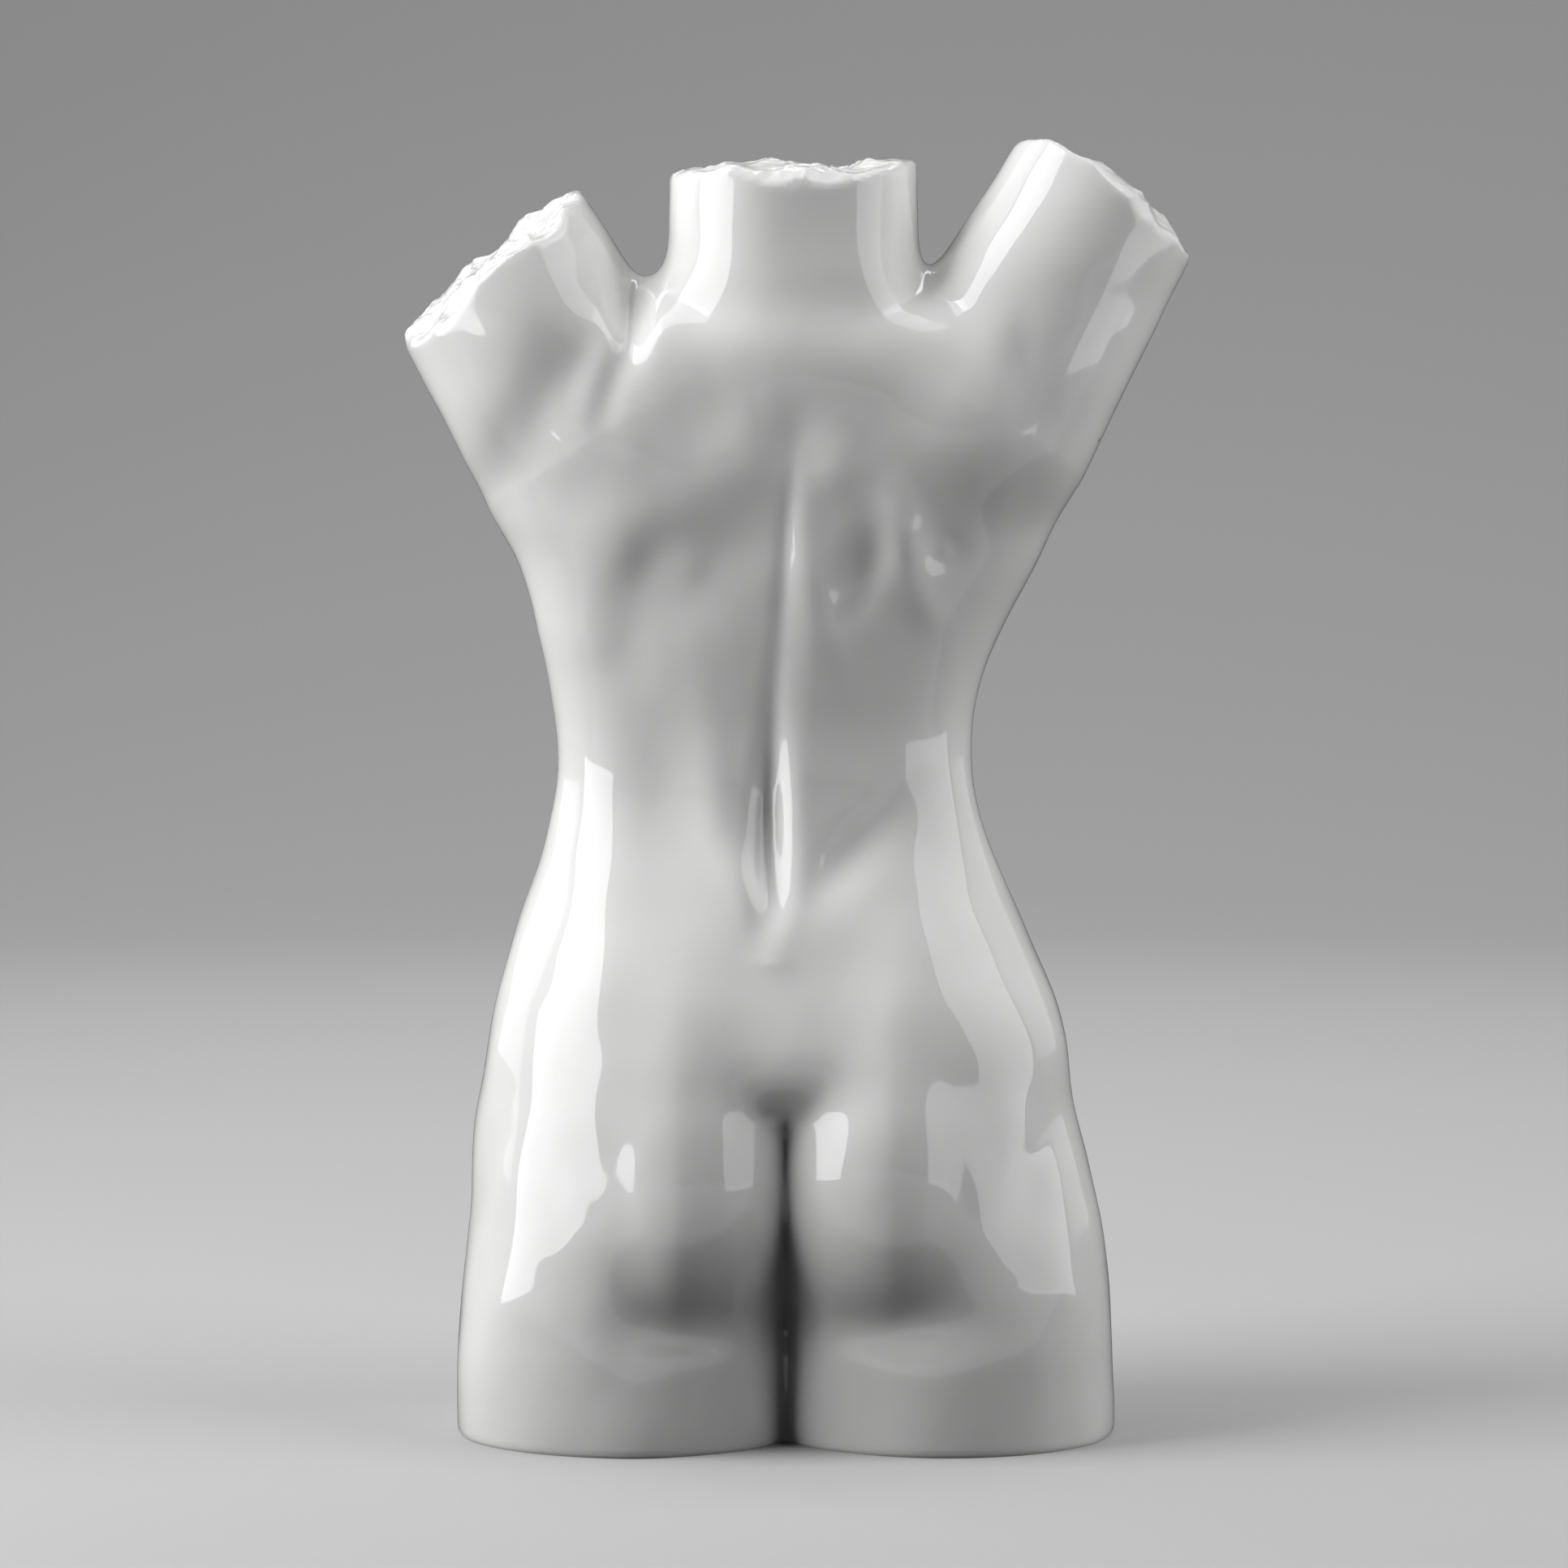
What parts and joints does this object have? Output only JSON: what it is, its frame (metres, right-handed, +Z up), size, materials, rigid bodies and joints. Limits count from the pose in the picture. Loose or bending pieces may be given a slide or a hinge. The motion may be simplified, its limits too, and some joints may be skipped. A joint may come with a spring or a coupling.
{
  "type": "female torso sculpture",
  "caption": "Female torso sculpture in white glazed porcelain, headless with raised broken arm stumps, cut level at the thighs so that it stands on its flat underside.",
  "frame": {"origin": "middle of the flat underside, between the thighs", "axes": "+Z up, the figure faces -Y, and its own left side is at +X"},
  "size_m": [0.1435, 0.0795, 0.2384],
  "materials": {
    "porcelain": "white, clear glossy glaze"
  },
  "bodies": {
    "root": {"torso": "porcelain"}
  },
  "joints": []
}
